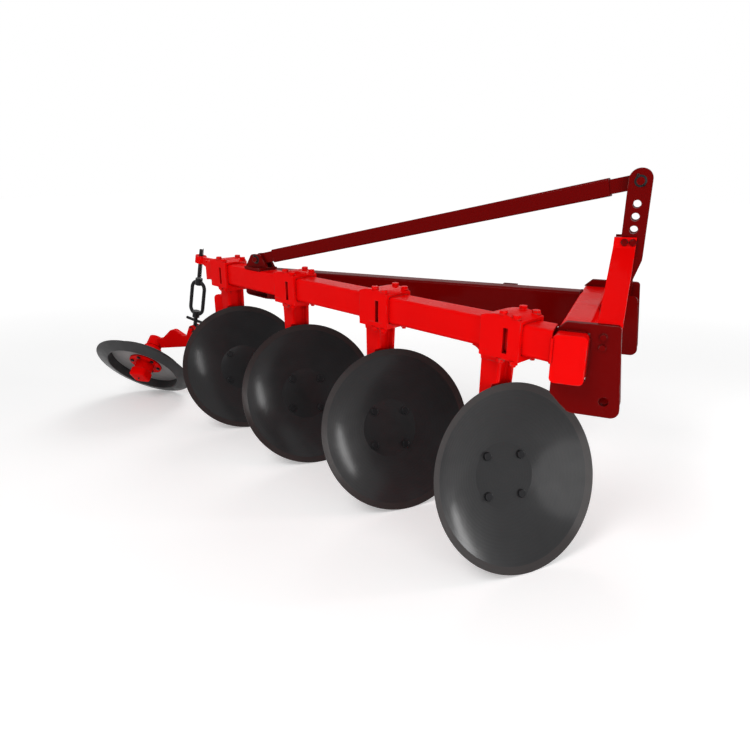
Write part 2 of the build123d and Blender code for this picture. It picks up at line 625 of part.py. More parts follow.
rim_face = outline(
    [
        (wheel_radius, 0, 0),
        (rim_inner + WHEEL_EDGE, WHEEL_RIM_LIP, WHEEL_EDGE * 0.7),
        (rim_inner, WHEEL_RIM_LIP, WHEEL_EDGE / 4),
        (rim_inner, rim_floor + WHEEL_EDGE, 0),
        (WHEEL_FLANGE_INNER / 2, rim_floor + WHEEL_EDGE, 0),
        (WHEEL_FLANGE_INNER / 2, rim_floor, 0),
        (rim_inner + WHEEL_EDGE, rim_floor, WHEEL_EDGE / 2),
        (rim_inner + WHEEL_EDGE, WHEEL_EDGE / 4, WHEEL_EDGE / 2),
        (wheel_radius, -WHEEL_EDGE / 2, 0),
    ]
)
pieces["wheel_rim"] = WHEEL * revolve(Plane.XZ * rim_face, Axis.Z)
web = Pos(0, 0, web_floor + WHEEL_WEB / 2) * Cylinder(rim_inner - WHEEL_EDGE / 4, WHEEL_WEB)
web -= Pos(0, 0, web_floor) * Cylinder(WHEEL_HUB_DIA / 2 + BOLT_HOLE_CLEARANCE, 4 * WHEEL_WEB)
pieces["wheel_web"] = WHEEL * web
hub_high = web_floor + WHEEL_WEB + WHEEL_HUB_FRONT
wheel_hub = Pos(0, 0, (hub_low + hub_high) / 2) * Cylinder(WHEEL_HUB_DIA / 2, hub_high - hub_low)
wheel_hub += Pos(0, 0, web_floor + WHEEL_WEB * 1.5) * Cylinder(WHEEL_HUB_FLANGE_DIA / 2, WHEEL_WEB)
cap_block = extrude(RectangleRounded(WHEEL_CAP, WHEEL_CAP, WHEEL_CAP_CORNER), amount=WHEEL_CAP_LENGTH)
cap_block = fillet(cap_block.faces().sort_by(Axis.Z)[-1].edges(), WHEEL_CAP_EDGE)
wheel_hub += Pos(0, 0, hub_high) * cap_block
axle_tip = web_floor + WHEEL_WEB
axle_hole = AXLE_DIA / 2 + RUNNING_CLEARANCE
wheel_hub -= Pos(0, 0, hub_low) * Cylinder(axle_hole, 2 * (axle_tip - hub_low + AXLE_GAP))
pieces["wheel_hub"] = WHEEL * wheel_hub

# Bracket on the last standard's rear face: a base, two tall cheeks and the wheel arm's pivot pin
axle_boss = WHEEL.from_local_coords(Vector(0, 0, boss_depth))
bracket_half = LEG_FOOT_DEPTH / 2 + LEG_CORNER
base_face = outline(
    [
        (base_rear, bracket_low, 0),
        (leg_rear_low.X, bracket_low, 0),
        (leg_rear_high.X, BRACKET_TOP, 0),
        (base_rear, BRACKET_TOP, 0),
    ]
)
bracket = BEAM * plate(base_face, leg_rear_low.Y - bracket_half, leg_rear_low.Y + bracket_half)
base_x = base_spot.X + ARM_LEFT * to_left.X / to_left.Y
arm_pivot = Vector(base_x - ARM_PIVOT_BACK, arm_plane, ARM_PIVOT_HEIGHT)
cheek_round = BRACKET_CHEEK_HEIGHT / 2
top_back = base_x - BRACKET_TOP_BACK
cheek_face = outline(
    [
        (base_x + ARM_PIVOT_BACK, BRACKET_TOP, 0),
        (top_back, BRACKET_TOP, cheek_round / 2),
        (top_back, ARM_PIVOT_HEIGHT + 2 * cheek_round, cheek_round),
        (arm_pivot.X, ARM_PIVOT_HEIGHT + cheek_round, 0),
        (arm_pivot.X, ARM_PIVOT_HEIGHT - cheek_round, 0),
        (base_x + ARM_PIVOT_BACK, ARM_PIVOT_HEIGHT - cheek_round, 0),
    ]
)
cheek_face += Pos(arm_pivot.X, ARM_PIVOT_HEIGHT) * Circle(cheek_round)
arm_gap = ARM_THICK / 2 + ARM_SIDE
ahead = BEAM * block(base_rear, far, -far, far, 0, far)
for low in (arm_gap, -arm_gap - BRACKET_CHEEK):
    bracket += plate(cheek_face, arm_plane + low, arm_plane + low + BRACKET_CHEEK) - ahead
pivot_pin = 2 * (arm_gap + BRACKET_CHEEK + PIN_END)
bracket += Pos(*arm_pivot) * Rot(90, 0, 0) * Cylinder(ARM_PIN_DIA / 2, pivot_pin)
pieces["wheel_bracket"] = bracket

# Wheel arm with its knuckle and the stub axle
arm_run = axle_boss - arm_pivot
arm_slope = arm_run.Z / arm_run.X


def disc_edges(spot_x, spot_z, dia):
    """The edge of a circle in the arm's plane."""
    return (Pos(spot_x, spot_z) * Circle(dia / 2)).edges()


def on_arm(back):
    """X and Z of the arm's middle line at a distance behind the pivot."""
    return arm_pivot.X - back, arm_pivot.Z - arm_slope * back


arm_face = make_hull(
    [
        *disc_edges(arm_pivot.X, arm_pivot.Z, ARM_DEPTH_FRONT),
        *disc_edges(axle_boss.X, axle_boss.Z, ARM_DEPTH_REAR),
    ]
)
knuckle_x, knuckle_z = on_arm(KNUCKLE_BACK)
before = on_arm(KNUCKLE_BACK - KNUCKLE_SPREAD)
behind = on_arm(KNUCKLE_BACK + KNUCKLE_SPREAD)
arm_face += make_hull(
    [
        *disc_edges(knuckle_x, knuckle_z + KNUCKLE_LIFT, KNUCKLE_DIA),
        *disc_edges(*before, ARM_DEPTH_REAR),
        *disc_edges(*behind, ARM_DEPTH_REAR),
    ]
)
arm_face -= Pos(arm_pivot.X, arm_pivot.Z) * Circle(ARM_PIN_DIA / 2 + RUNNING_CLEARANCE)
arm = plate(arm_face, arm_plane - ARM_THICK / 2, arm_plane + ARM_THICK / 2)
boss_top = hub_low - AXLE_GAP
wheel_room = Pos(0, 0, boss_top + wheel_radius / 2) * Cylinder(wheel_radius + HUB_CLEARANCE, wheel_radius)
arm -= WHEEL * wheel_room
arm += WHEEL * Pos(0, 0, boss_top - AXLE_BOSS / 2) * Cylinder(AXLE_BOSS_DIA / 2, AXLE_BOSS)
axle_length = axle_tip - boss_top + AXLE_BOSS / 2
arm += WHEEL * Pos(0, 0, axle_tip - axle_length / 2) * Cylinder(AXLE_DIA / 2, axle_length)
pieces["wheel_arm"] = arm

# Fork on the arm with the adjuster's lower pin
fork_pin = Vector(arm_pivot.X - ADJUST_BACK, arm_plane, arm_pivot.Z + ADJUST_LIFT)
fork_face = make_hull(
    [
        *disc_edges(fork_pin.X, fork_pin.Z, ADJUST_EYE_DIA),
        *disc_edges(*on_arm(ADJUST_BACK - FORK_SPREAD), FORK_TOE_DIA),
        *disc_edges(*on_arm(ADJUST_BACK + FORK_SPREAD), FORK_TOE_DIA),
    ]
)
fork = Part()
for low in (ARM_THICK / 2, -ARM_THICK / 2 - FORK_PLATE):
    fork += plate(fork_face, arm_plane + low, arm_plane + low + FORK_PLATE)
fork_pin_length = ARM_THICK + 2 * (FORK_PLATE + PIN_END)
fork += Pos(*fork_pin) * Rot(90, 0, 0) * Cylinder(ADJUST_PIN_DIA / 2, fork_pin_length)
pieces["adjuster_fork"] = fork

# Adjuster: eye, tommy bar, open turnbuckle loop and screw along one leaning line
lean_ahead = radians(ADJUST_LEAN)
ADJUSTER = Plane(origin=fork_pin, x_dir=(0, 1, 0), z_dir=(sin(lean_ahead), 0, cos(lean_ahead)))
loop_half = LOOP_WIDTH / 2 - LOOP_ROD / 2
loop_line = FilletPolyline(
    (0, -loop_half, LOOP_LOW),
    (0, -loop_half, LOOP_HIGH),
    (0, loop_half, LOOP_HIGH),
    (0, loop_half, LOOP_LOW),
    radius=loop_half - 1,
    close=True,
)
loop_start = Plane(origin=loop_line @ 0, z_dir=loop_line % 0)
turnbuckle = sweep(loop_start * Circle(LOOP_ROD / 2), path=loop_line)
eye = Rot(0, 90, 0) * Cylinder(ADJUST_EYE_DIA / 2, ADJUST_EYE)
eye += Pos(0, 0, LOOP_LOW / 2) * Cylinder(ADJUST_EYE / 2 - 1, LOOP_LOW)
slot_length = ADJUST_PIN_DIA + 2 * ADJUST_PIN_SLOT
eye_room = Rot(0, 90, 0) * SlotOverall(slot_length, ADJUST_PIN_DIA + 2 * ADJUST_PIN_PLAY, 90)
eye -= extrude(eye_room, amount=ADJUST_EYE, both=True)
turnbuckle += eye
turnbuckle += Pos(0, 0, HANDLE_AT) * Rot(90, 0, 0) * Cylinder(HANDLE_DIA / 2, HANDLE_LENGTH)
for height in (LOOP_LOW, LOOP_HIGH):
    turnbuckle += Pos(0, 0, height) * Cylinder(LOOP_ROD, LOOP_BOSS)
pieces["turnbuckle"] = ADJUSTER * turnbuckle
screw_low = LOOP_HIGH + LOOP_BOSS / 2
screw = Pos(0, 0, (screw_low + SCREW_TOP) / 2) * Cylinder(SCREW_DIA / 2, SCREW_TOP - screw_low)
screw = chamfer(screw.edges().filter_by(GeomType.CIRCLE).sort_by(Axis.Z)[-1], SCREW_DIA / 8)
pieces["adjusting_screw"] = ADJUSTER * screw

# Beam's rear end plate with the screw's boss on a tapered web
boss_rise = SCREW_BOSS_LOW + SCREW_BOSS / 2
boss_world = ADJUSTER.from_local_coords(Vector(0, 0, boss_rise))
boss_here = BEAM.to_local_coords(boss_world)
screw_bracket = BEAM * block(
    -BEAM_REAR - END_PLATE, -BEAM_REAR, -BEAM_HALF, BEAM_HALF, BEAM_BOTTOM, beam_top
)
web_face = outline(
    [
        (-BEAM_REAR, beam_top, 0),
        (boss_here.X, boss_here.Z + SCREW_BOSS / 3, 0),
        (boss_here.X, boss_here.Z - SCREW_BOSS / 3, 0),
        (-BEAM_REAR, beam_top - BOSS_WEB_ROOT, 0),
    ]
)
screw_bracket += BEAM * plate(web_face, boss_here.Y - BOSS_WEB / 2, boss_here.Y + BOSS_WEB / 2)
screw_bracket += ADJUSTER * Pos(0, 0, boss_rise) * Cylinder(SCREW_BOSS_DIA / 2, SCREW_BOSS)
screw_room = SCREW_DIA / 2 + SCREW_PLAY
screw_bracket -= ADJUSTER * Pos(0, 0, boss_rise) * Cylinder(screw_room, 2 * SCREW_BOSS)
pieces["screw_bracket"] = screw_bracket

# Parking stand: a drop leg in a socket on the side member
socket_inside = STAND_TUBE + 2 * STAND_PLAY
socket_outside = socket_inside + 2 * STAND_SOCKET_WALL
stand_y = SIDE_MIDDLE + SIDE_WIDTH / 2 + socket_outside / 2
socket_face = RectangleRounded(socket_outside, socket_outside, STAND_SOCKET_WALL)
socket_face -= Rectangle(socket_inside, socket_inside)
socket = extrude(socket_face, amount=STAND_SOCKET_HIGH - STAND_SOCKET_LOW)
pieces["stand_socket"] = Pos(STAND_X, stand_y, STAND_SOCKET_LOW) * socket
stand_inside = STAND_TUBE - 2 * STAND_WALL
stand_face = Rectangle(STAND_TUBE, STAND_TUBE) - Rectangle(stand_inside, stand_inside)
stand = Pos(0, 0, STAND_FOOT_PLATE) * extrude(stand_face, amount=STAND_LEG_TOP - STAND_FOOT_PLATE)
stand += extrude(RectangleRounded(STAND_FOOT, STAND_FOOT, STAND_FOOT_CORNER), amount=STAND_FOOT_PLATE)
pieces["stand_leg"] = Pos(STAND_X, stand_y, 0) * stand

# The origin is the middle of the footprint, on the ground
boxes = [piece.bounding_box() for piece in pieces.values()]
middle_x = (min(box.min.X for box in boxes) + max(box.max.X for box in boxes)) / 2
middle_y = (min(box.min.Y for box in boxes) + max(box.max.Y for box in boxes)) / 2
ORIGIN = Vector(middle_x, middle_y, min(box.min.Z for box in boxes))

os.makedirs("parts", exist_ok=True)
for name, piece in pieces.items():
    export_step(Pos(*(ORIGIN * -1)) * piece, f"parts/{name}.step")
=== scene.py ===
"""Finishes, fittings and studio for a four-disc plough, added round its solid pieces.

Lengths are metres. +X is the direction of travel, +Y the plough's left and +Z up.
"""

import json
from math import cos, pi, radians, sin, tan

import bmesh
import bpy
from bpy.props import FloatProperty, FloatVectorProperty, IntProperty, PointerProperty
from mathutils import Matrix, Vector


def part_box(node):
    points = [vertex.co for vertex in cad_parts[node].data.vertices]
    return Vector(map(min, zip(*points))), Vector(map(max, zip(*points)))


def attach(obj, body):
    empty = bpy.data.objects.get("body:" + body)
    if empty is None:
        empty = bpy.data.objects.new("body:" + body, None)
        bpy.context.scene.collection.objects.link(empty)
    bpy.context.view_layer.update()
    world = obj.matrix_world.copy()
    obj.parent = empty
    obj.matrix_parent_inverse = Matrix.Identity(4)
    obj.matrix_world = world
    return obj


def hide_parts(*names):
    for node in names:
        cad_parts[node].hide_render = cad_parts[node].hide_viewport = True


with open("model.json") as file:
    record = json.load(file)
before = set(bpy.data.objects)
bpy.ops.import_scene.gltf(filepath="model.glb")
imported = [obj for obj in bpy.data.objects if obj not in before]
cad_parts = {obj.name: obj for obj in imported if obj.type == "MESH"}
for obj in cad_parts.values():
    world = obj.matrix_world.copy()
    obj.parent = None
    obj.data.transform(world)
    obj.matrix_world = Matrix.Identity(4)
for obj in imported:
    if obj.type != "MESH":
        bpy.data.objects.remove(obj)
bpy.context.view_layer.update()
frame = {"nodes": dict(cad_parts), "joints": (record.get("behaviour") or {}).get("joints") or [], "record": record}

bl_info = {
    "name": "Disc plough dresser",
    "version": (1, 0, 0),
    "blender": (4, 5, 0),
    "location": "View3D > Sidebar > Plough",
    "description": "Paint, steel, fasteners, welds and studio for a disc plough",
    "category": "Object",
}

X_AXIS = 0
Y_AXIS = 1
LEFT = Vector((0, 1, 0))
UP = Vector((0, 0, 1))
WHITE = (1, 1, 1, 1)

# Places read from the frame
JOINTS = {joint["name"]: joint for joint in frame["joints"]}
DISC_COUNT = sum(name.startswith("disc_") for name in JOINTS)
DISC_SPOTS = [Vector(JOINTS[f"disc_{i + 1}_spin"]["pos_m"]) for i in range(DISC_COUNT)]
DISC_AXIS = Vector(JOINTS["disc_1_spin"]["axis"])
BEAM_AHEAD = (DISC_SPOTS[0] - DISC_SPOTS[-1]).normalized()
BEAM_LEFT = UP.cross(BEAM_AHEAD)
BEAM_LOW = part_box("main_beam")[0]
CROSS_LOW, CROSS_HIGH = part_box("cross_member")
WHEEL_SPOT = Vector(JOINTS["wheel_spin"]["pos_m"])
WHEEL_AXIS = Vector(JOINTS["wheel_spin"]["axis"])
ARM_PIVOT = Vector(JOINTS["wheel_arm_lift"]["pos_m"])
SCREW_AXIS = Vector(JOINTS["adjuster_slide"]["axis"])

# Clamps: half their length, the fall of the crown at its ends, and the bolts' places from the middle
CLAMP_HALF = 0.075
CLAMP_CROWN = 0.014
CLAMP_BOLT_SIDE = 0.054
CLAMP_BOLT_ALONG = (0.053, 0.004)
CLAMP_HEAD_SINK = 0.001
SADDLE = 0.020

# How far clamp bolts turn for each metre along the beam, so that neighbours don't sit alike
CLAMP_HEAD_TURN = 9
CLAMP_NUT_TURN = 11

# Seats of the mast's bolts and of the stay's pins
BRACE = 0.016
BRACE_FOOT_SETBACK = 0.022
BRACE_FOOT_RISES = (0.020, 0.052)
BRACE_TOP_SHARES = (0.48, 0.85)
BRACE_TOP_DROP = 0.016
MAST_PIN_DROP = 0.041
MAST_PIN_SETBACK = 0.037
STAY_PIN_RISE = 0.048
STAY_EAR_OUTSIDE = 0.031

# Seats on the wheel and its adjuster
WHEEL_FLANGE_SEAT = -0.022
WHEEL_CAP_TOP = 0.074
BRACKET_EAR = 0.031
FORK_EAR = 0.027
FORK_EYE_RADIUS = 0.024
SCREW_FROM = 0.305
SCREW_TO = 0.482
SCREW_CREST = 0.0129
SCREW_ROOT = 0.0108
SCREW_SIDES = 20

# Clips: radius of the pin and of the wire, and how far each is turned on its pin
STAY_CLIP = (0.0125, 0.002)
PIVOT_CLIP = (0.016, 0.0022)
EYE_CLIP = (0.010, 0.0018)
MAST_CLIP_TURN = 0.5
FOOT_CLIP_TURN = 0.4
ARM_CLIP_TURN = 0.6

# Weld runs: half the beam's width, and how far the runs stop short of corners and ends
BEAM_HALF = 0.050
TUBE_STOP = 0.012
PLATE_STOP = 0.014
PLATE_TOP_STOP = 0.020
PLATE_REAR_STOP = 0.034
CHEEK_STOP = 0.004
SOCKET_STOP = 0.002

# Middle of the bead between two rounded tubes, from the side member's top edge
CORNER_GROOVE = Vector((0.002, 0, -0.003))

# Shares of a face's normal along a direction, for picking faces
LEANS = 0.5
FACES = 0.9

# Finishes: the span of most noise values, a blade's ground edge, and how far the painted shade in corners and the
# wear reach
NOISE_SPAN = (0.3, 0.7)
BLADE_BEVEL = (0.3035, 0.3055)
CORNER_SHADE_REACH = 0.03
STEEL_WEAR_REACH = 0.002

# Studio
FLOOR_TONES = ((0.92, 0.92, 0.92), (0.96, 0.96, 0.96))
FLOOR_SIZE = 60.0
FLOOR_DROP = 0.001
LAMP_AIM = Vector((0, 0, 0.5))
SENSOR_MM = 36.0


class PloughFinish(bpy.types.PropertyGroup):
    """Colours and wear of the plough's surfaces."""

    red: FloatVectorProperty(
        name="Red paint",
        description="Main gloss paint of beam, standards and wheel arm",
        default=(0.87, 0.002, 0.002),
        min=0,
        max=1,
        subtype="COLOR",
    )
    # Painted shade: the darker red is a shaded copy of the red paint, for mast, stay, hitch plates and side member
    shaded_red: FloatVectorProperty(
        name="Dark red paint",
        description="Gloss paint of mast, stay, hitch plates and side member",
        default=(0.15, 0.001, 0.001),
        min=0,
        max=1,
        subtype="COLOR",
    )
    disc: FloatVectorProperty(
        name="Disc steel",
        description="Dark rolled steel of the blades, under its gloss",
        default=(0.018, 0.018, 0.019),
        min=0,
        max=1,
        subtype="COLOR",
    )
    rim: FloatVectorProperty(
        name="Rim steel",
        description="Dark rolled steel of the furrow wheel's rim",
        default=(0.034, 0.034, 0.035),
        min=0,
        max=1,
        subtype="COLOR",
    )
    wheel: FloatVectorProperty(
        name="Wheel grey",
        description="Satin paint of the furrow wheel's web",
        default=(0.21, 0.21, 0.21),
        min=0,
        max=1,
        subtype="COLOR",
    )
    black: FloatVectorProperty(
        name="Black steel",
        description="Oiled black of disc hubs, adjuster, wheel bolts and clips",
        default=(0.009, 0.009, 0.010),
        min=0,
        max=1,
        subtype="COLOR",
    )
    primer: FloatVectorProperty(
        name="Worn edge",
        description="What shows where paint has rubbed off an edge",
        default=(0.13, 0.09, 0.08),
        min=0,
        max=1,
        subtype="COLOR",
    )
    edge: FloatProperty(
        name="Edge wear",
        description="How far rubbing reaches in from a painted edge",
        default=0.004,
        min=0.0005,
        unit="LENGTH",
        subtype="DISTANCE",
    )


class PloughFittings(bpy.types.PropertyGroup):
    """Sizes of the fasteners and welds."""

    clamp_bolt: FloatProperty(
        name="Clamp bolt",
        description="Thread diameter of the clamps' bolts",
        default=0.016,
        unit="LENGTH",
        subtype="DISTANCE",
    )
    plate_bolt: FloatProperty(
        name="Plate bolt",
        description="Thread diameter of the mast and wheel bolts",
        default=0.012,
        unit="LENGTH",
        subtype="DISTANCE",
    )
    wheel_bolts: IntProperty(
        name="Wheel bolts",
        description="Bolts that hold the wheel's web to its hub",
        default=6,
        min=3,
    )
    wheel_bolt_circle: FloatProperty(
        name="Wheel bolt circle",
        description="Radius of the wheel's bolt circle",
        default=0.077,
        unit="LENGTH",
        subtype="DISTANCE",
    )
    nipple: FloatProperty(
        name="Grease nipple",
        description="Radius of the hex foot of the wheel cap's grease nipple",
        default=0.006,
        unit="LENGTH",
        subtype="DISTANCE",
    )
    weld: FloatProperty(
        name="Weld radius",
        description="Radius of a weld bead at its ripples",
        default=0.0055,
        unit="LENGTH",
        subtype="DISTANCE",
    )
    thread: FloatProperty(
        name="Screw pitch",
        description="Pitch of the depth screw's thread",
        default=0.006,
        unit="LENGTH",
        subtype="DISTANCE",
    )


class PloughStudio(bpy.types.PropertyGroup):
    """Camera and light."""

    turn: FloatProperty(
        name="Camera turn",
        description="How far the camera looks to the left of straight across the plough",
        default=radians(24.0),
        unit="ROTATION",
        subtype="ANGLE",
    )
    drop: FloatProperty(
        name="Camera drop",
        description="How far the camera looks down",
        default=radians(18.56),
        unit="ROTATION",
        subtype="ANGLE",
    )
    field: FloatProperty(
        name="Field of view",
        description="Angle across the square picture",
        default=radians(63.97),
        unit="ROTATION",
        subtype="ANGLE",
    )
    spot: FloatVectorProperty(
        name="Camera place",
        description="From the ground under the front disc's centre",
        default=(0.2967, -1.8857, 1.307),
        unit="LENGTH",
        subtype="TRANSLATION",
    )
    key: FloatProperty(
        name="Key light",
        description="Power of the high light over the discs",
        default=84,
        min=0,
        unit="POWER",
    )
    fill: FloatProperty(
        name="Fill light",
        description="Power of the front light, and of the one behind",
        default=42,
        min=0,
        unit="POWER",
    )
    strip: FloatProperty(
        name="Strip light",
        description="Power of the narrow light that draws a gleam on the discs",
        default=16,
        min=0,
        unit="POWER",
    )
    sky: FloatProperty(
        name="Surround",
        description="Strength of the light all round",
        default=0.38,
        min=0,
    )


class PloughSettings(bpy.types.PropertyGroup):
    """Everything that a user would change."""

    finish: PointerProperty(type=PloughFinish)
    fittings: PointerProperty(type=PloughFittings)
    studio: PointerProperty(type=PloughStudio)


def start(add, **sizes):
    """Add a primitive with nothing else selected and open it for editing."""
    bpy.ops.object.select_all(action="DESELECT")
    add(**sizes)
    bpy.ops.object.mode_set(mode="EDIT")
    return bpy.context.object


def pick(test):
    """Select the faces of the open mesh whose middle and normal pass a test."""
    bpy.ops.mesh.select_mode(type="FACE")
    bpy.ops.mesh.select_all(action="DESELECT")
    mesh = bpy.context.edit_object.data
    shape = bmesh.from_edit_mesh(mesh)
    for face in shape.faces:
        if test(face.calc_center_median(), face.normal):
            face.select_set(True)
    bmesh.update_edit_mesh(mesh)


def chamfer(offset, segments=2):
    """Bevel the edges of the picked faces."""
    bpy.ops.mesh.bevel(offset=offset, segments=segments, affect="EDGES")


def close():
    """Make the open mesh's faces point outwards and leave edit mode."""
    bpy.ops.mesh.select_all(action="SELECT")
    bpy.ops.mesh.normals_make_consistent(inside=False)
    bpy.ops.object.mode_set(mode="OBJECT")


def seat(point, out, turn=0.0):
    """A place on a surface, with Z along the outward direction."""
    facing = out.to_track_quat("Z", "Y").to_matrix().to_4x4()
    return Matrix.Translation(point) @ facing @ Matrix.Rotation(turn, 4, "Z")


def gather(name, patterns):
    """Copy each pattern to its places, join the copies and keep their place in one mesh."""
    copies = []
    for pattern, places in patterns:
        for place in places:
            copy = pattern.copy()
            copy.data = pattern.data.copy()
            bpy.context.collection.objects.link(copy)
            copy.matrix_world = place
            copies.append(copy)
    bpy.ops.object.select_all(action="DESELECT")
    for copy in copies:
        copy.select_set(True)
    bpy.context.view_layer.objects.active = copies[0]
    bpy.ops.object.join()
    bpy.ops.object.transform_apply(location=True, rotation=True, scale=True)
    joined = bpy.context.object
    joined.name = name
    for pattern, _ in patterns:
        bpy.data.objects.remove(pattern)
    return joined


def coat_piece(piece, finish):
    """Give a piece one finish."""
    piece.data.materials.clear()
    piece.data.materials.append(bpy.data.materials[finish])


def finish_piece(piece, body, slot, smooth=35):
    """Shade a piece, give it its finish and let it move with its body."""
    bpy.ops.object.select_all(action="DESELECT")
    piece.select_set(True)
    bpy.context.view_layer.objects.active = piece
    bpy.ops.object.shade_smooth_by_angle(angle=radians(smooth))
    coat_piece(piece, slot)
    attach(piece, body)


def middle_of(name):
    """Middle of a node's box."""
    low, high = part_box(name)
    return (low + high) / 2


def fork_eye():
    """Middle of the adjuster's lower pin, in the eye of its fork."""
    eye = middle_of("adjuster_fork")
    eye.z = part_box("adjuster_fork")[1].z - FORK_EYE_RADIUS
    return eye


def put(tree, socket, value):
    """Link a value to a socket, or set the socket where the value is plain."""
    if isinstance(value, bpy.types.NodeSocket):
        tree.links.new(value, socket)
    else:
        socket.default_value = value


def node(tree, kind, settings=None, **values):
    """Add a shader node with its settings, and put a value in each socket named."""
    made = tree.nodes.new(kind)
    for key, value in (settings or {}).items():
        setattr(made, key, value)
    for key, value in values.items():
        put(tree, made.inputs[key.replace("_", " ")], value)
    return made


def number(tree, operation, first, second):
    """Work out a number from two others."""
    made = node(tree, "ShaderNodeMath", {"operation": operation})
    put(tree, made.inputs[0], first)
    put(tree, made.inputs[1], second)
    return made.outputs["Value"]


def product(tree, first, second):
    """Multiply two numbers."""
    return number(tree, "MULTIPLY", first, second)


def vector_node(tree, operation, *vectors):
    """Work out a vector, or one number, from vectors."""
    made = node(tree, "ShaderNodeVectorMath", {"operation": operation})
    for socket, vector in zip(made.inputs, vectors):
        put(tree, socket, vector)
    return made.outputs


def ramp(tree, factor, low, high, low_value=0.0, high_value=1.0):
    """Spread a span of a value over another span."""
    made = node(
        tree,
        "ShaderNodeMapRange",
        {"interpolation_type": "SMOOTHSTEP"},
        Value=factor,
        From_Min=low,
        From_Max=high,
        To_Min=low_value,
        To_Max=high_value,
    )
    return made.outputs["Result"]


def grain(tree, where, scale, detail=4.0, rough=0.55):
    """Noise over the object's own coordinates."""
    made = node(tree, "ShaderNodeTexNoise", Vector=where, Scale=scale, Detail=detail, Roughness=rough)
    return made.outputs["Fac"]


def blend_colour(tree, factor, first, second):
    """Mix two colours by a factor."""
    made = node(tree, "ShaderNodeMix", {"data_type": "RGBA"})
    sockets = {socket.identifier: socket for socket in made.inputs}
    put(tree, sockets["Factor_Float"], factor)
    for key, colour in (("A_Color", first), ("B_Color", second)):
        linked = isinstance(colour, bpy.types.NodeSocket)
        put(tree, sockets[key], colour if linked else (*colour, 1.0))
    return next(socket for socket in made.outputs if socket.identifier == "Result_Color")


def seen_ray(tree):
    """High for rays that show the surround itself: straight, reflected or through glass."""
    path = node(tree, "ShaderNodeLightPath")
    seen = path.outputs["Is Camera Ray"]
    for name in ("Is Glossy Ray", "Is Transmission Ray"):
        seen = number(tree, "MAXIMUM", seen, path.outputs[name])
    return seen


def new_finish(name):
    """An empty material's tree and shader, with object coordinates."""
    material = bpy.data.materials.new(name)
    material.use_nodes = True
    tree = material.node_tree
    shader = tree.nodes["Principled BSDF"]
    where = node(tree, "ShaderNodeTexCoord").outputs["Object"]
    return tree, shader, where


def edge_mask(tree, reach):
    """High along the piece's edges, by how the rounded and the true normal differ."""
    rounded = node(tree, "ShaderNodeBevel", {"samples": 4}, Radius=reach).outputs["Normal"]
    true = node(tree, "ShaderNodeNewGeometry").outputs["Normal"]
    same = vector_node(tree, "DOT_PRODUCT", rounded, true)["Value"]
    return ramp(tree, same, low=0.995, high=0.86)


def corner_shade_mask(tree, reach):
    """High in corners and gaps, where painted shade darkens the surface."""
    open_to = node(tree, "ShaderNodeAmbientOcclusion", {"samples": 4}, Distance=reach).outputs["AO"]
    return ramp(tree, open_to, low=0.82, high=0.35)


def shade(colour, share, lift=0.0):
    """A darker or lighter shade of a colour."""
    return tuple(min(1.0, channel * share + lift) for channel in colour)


def surface(tree, shader, colour, rough, bump, bump_depth):
    """Join colour, roughness and bump to the shader."""
    tree.links.new(colour, shader.inputs["Base Color"])
    tree.links.new(rough, shader.inputs["Roughness"])
    relief = node(tree, "ShaderNodeBump", Height=bump, Strength=0.35, Distance=bump_depth)
    tree.links.new(relief.outputs["Normal"], shader.inputs["Normal"])


def gloss_paint(name, colour, worn, reach):
    """Sprayed gloss paint: slight fading, orange peel, rubbed edges and painted shade in corners."""
    tree, shader, where = new_finish(name)
    fade = ramp(tree, grain(tree, where, scale=2.3), *NOISE_SPAN, high_value=0.22)
    coat = blend_colour(tree, fade, tuple(colour), shade(colour, share=0.72))

    patches = grain(tree, where, scale=21.0, detail=6.0, rough=0.65)
    rubbed = product(tree, edge_mask(tree, reach), ramp(tree, patches, low=0.46, high=0.66))
    chipped = blend_colour(tree, rubbed, coat, tuple(worn))

    # Painted shade: the paint turns darker in corners and gaps, unevenly by a noise
    shade_unevenness = ramp(tree, grain(tree, where, scale=9.0), low=0.3, high=0.6, low_value=0.45, high_value=0.9)
    corner_shade = product(tree, corner_shade_mask(tree, CORNER_SHADE_REACH), shade_unevenness)
    base = blend_colour(tree, corner_shade, chipped, shade(colour, share=0.12, lift=0.004))

    sheen = ramp(tree, grain(tree, where, scale=11.0), *NOISE_SPAN, low_value=0.20, high_value=0.34)
    rubbed_dull = 0.3
    rough = number(tree, "ADD", sheen, product(tree, rubbed, rubbed_dull))
    peel = grain(tree, where, scale=260.0, detail=2.0)
    surface(tree, shader, base, rough, peel, bump_depth=0.0006)
    shader.inputs["Specular IOR Level"].default_value = 0.004
    shader.inputs["Coat Weight"].default_value = 0.05
    shader.inputs["Coat Roughness"].default_value = 0.12


def dark_steel(name, colour, worn, sheen, speckle, depth):
    """Rolled or cast dark steel with a mottled scale."""
    tree, shader, where = new_finish(name)
    mottle = ramp(tree, grain(tree, where, scale=6.0, detail=6.0), low=0.35, high=0.68, high_value=0.55)
    scale = blend_colour(tree, mottle, tuple(colour), shade(colour, share=1.6, lift=0.004))
    patches = ramp(tree, grain(tree, where, scale=60.0), low=0.45, high=0.7)
    rubbed = product(tree, edge_mask(tree, STEEL_WEAR_REACH), patches)
    base = blend_colour(tree, rubbed, scale, tuple(worn))
    rough = ramp(tree, grain(tree, where, scale=21.0), *NOISE_SPAN, *sheen)
    surface(tree, shader, base, rough, grain(tree, where, scale=speckle, detail=3.0), bump_depth=depth)
    shader.inputs["Specular IOR Level"].default_value = 0.14


